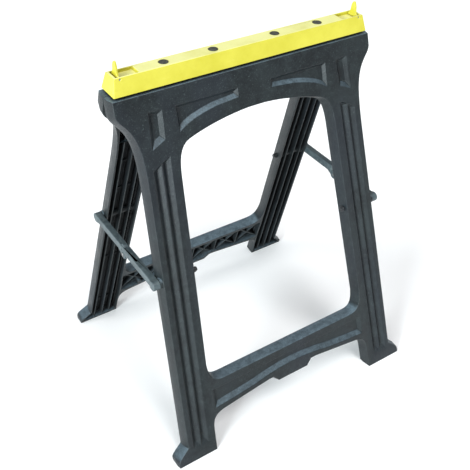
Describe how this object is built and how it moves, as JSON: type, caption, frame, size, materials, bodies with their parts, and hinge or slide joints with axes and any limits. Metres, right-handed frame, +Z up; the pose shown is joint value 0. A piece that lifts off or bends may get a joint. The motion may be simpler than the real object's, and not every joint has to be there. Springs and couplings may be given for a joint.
{
  "type": "folding sawhorse",
  "caption": "Folding sawhorse with two moulded plastic A-frames hinged under a bevelled top rail with flip-up end stops, held open by folding side braces.",
  "frame": {"origin": "on the ground under the middle of the top rail", "axes": "+X along the top rail, +Y from the front frame to the rear frame, +Z up"},
  "size_m": [0.6058, 0.5162, 0.7835],
  "materials": {
    "rail_plastic": "yellow moulded polypropylene, satin",
    "frame_plastic": "charcoal moulded recycled polypropylene, fine mottled grain",
    "link_plastic": "grey-green moulded plastic, satin",
    "pin_plastic": "black nylon, satin",
    "stud_rubber": "dark olive-grey rubber, matt",
    "steel": "zinc-plated steel"
  },
  "bodies": {
    "rail": {"top_rail": "rail_plastic", "grip_stud_1": "stud_rubber", "grip_stud_2": "stud_rubber", "grip_stud_3": "stud_rubber", "grip_stud_4": "stud_rubber", "end_stop_pin_left": "steel", "end_stop_pin_right": "steel", "hinge_saddles": "pin_plastic", "saddle_screws": "steel", "hinge_rod": "steel", "rod_caps": "pin_plastic"},
    "left_stop": {"end_stop_left": "rail_plastic"},
    "right_stop": {"end_stop_right": "rail_plastic"},
    "front": {"front_frame": "frame_plastic", "left_front_pivot_pin": "pin_plastic", "right_front_pivot_pin": "pin_plastic", "left_front_pin_clip": "pin_plastic", "right_front_pin_clip": "pin_plastic"},
    "rear": {"rear_frame": "frame_plastic"},
    "left_rear_arm": {"left_rear_link": "link_plastic", "left_rear_pivot_pin": "pin_plastic", "left_rear_pin_clip": "pin_plastic", "left_knee_pin": "steel"},
    "left_front_arm": {"left_front_link": "link_plastic"},
    "right_rear_arm": {"right_rear_link": "link_plastic", "right_rear_pivot_pin": "pin_plastic", "right_rear_pin_clip": "pin_plastic", "right_knee_pin": "steel"},
    "right_front_arm": {"right_front_link": "link_plastic"}
  },
  "joints": [
    {"name": "front_fold", "type": "hinge", "parent": "rail", "child": "front", "pos_m": [0, 0, 0.712], "axis": [1, 0, 0], "range_deg": [0, 17.73]},
    {"name": "rear_fold", "type": "hinge", "parent": "rail", "child": "rear", "pos_m": [0, 0, 0.712], "axis": [1, 0, 0], "range_deg": [-17.73, 0]},
    {"name": "left_rear_pivot", "type": "hinge", "parent": "rear", "child": "left_rear_arm", "pos_m": [-0.2661, 0.1215, 0.388], "axis": [1, 0, 0], "range_deg": [-69.5, 0]},
    {"name": "left_knee", "type": "hinge", "parent": "left_rear_arm", "child": "left_front_arm", "pos_m": [-0.2661, 0, 0.377], "axis": [1, 0, 0], "range_deg": [0, 174.4]},
    {"name": "right_rear_pivot", "type": "hinge", "parent": "rear", "child": "right_rear_arm", "pos_m": [0.2661, 0.1215, 0.388], "axis": [1, 0, 0], "range_deg": [-69.5, 0]},
    {"name": "right_knee", "type": "hinge", "parent": "right_rear_arm", "child": "right_front_arm", "pos_m": [0.2661, 0, 0.377], "axis": [1, 0, 0], "range_deg": [0, 174.4]},
    {"name": "left_stop_flip", "type": "hinge", "parent": "rail", "child": "left_stop", "pos_m": [-0.256, 0, 0.7566], "axis": [0, 1, 0], "range_deg": [0, 90]},
    {"name": "right_stop_flip", "type": "hinge", "parent": "rail", "child": "right_stop", "pos_m": [0.256, 0, 0.7566], "axis": [0, -1, 0], "range_deg": [0, 90]}
  ],
  "couplings": [
    {"joint": "rear_fold", "follows": "front_fold", "ratio": -1},
    {"joint": "left_rear_pivot", "follows": "front_fold", "ratio": -3.9143},
    {"joint": "left_knee", "follows": "front_fold", "ratio": 9.8285},
    {"joint": "right_rear_pivot", "follows": "front_fold", "ratio": -3.9143},
    {"joint": "right_knee", "follows": "front_fold", "ratio": 9.8285}
  ]
}
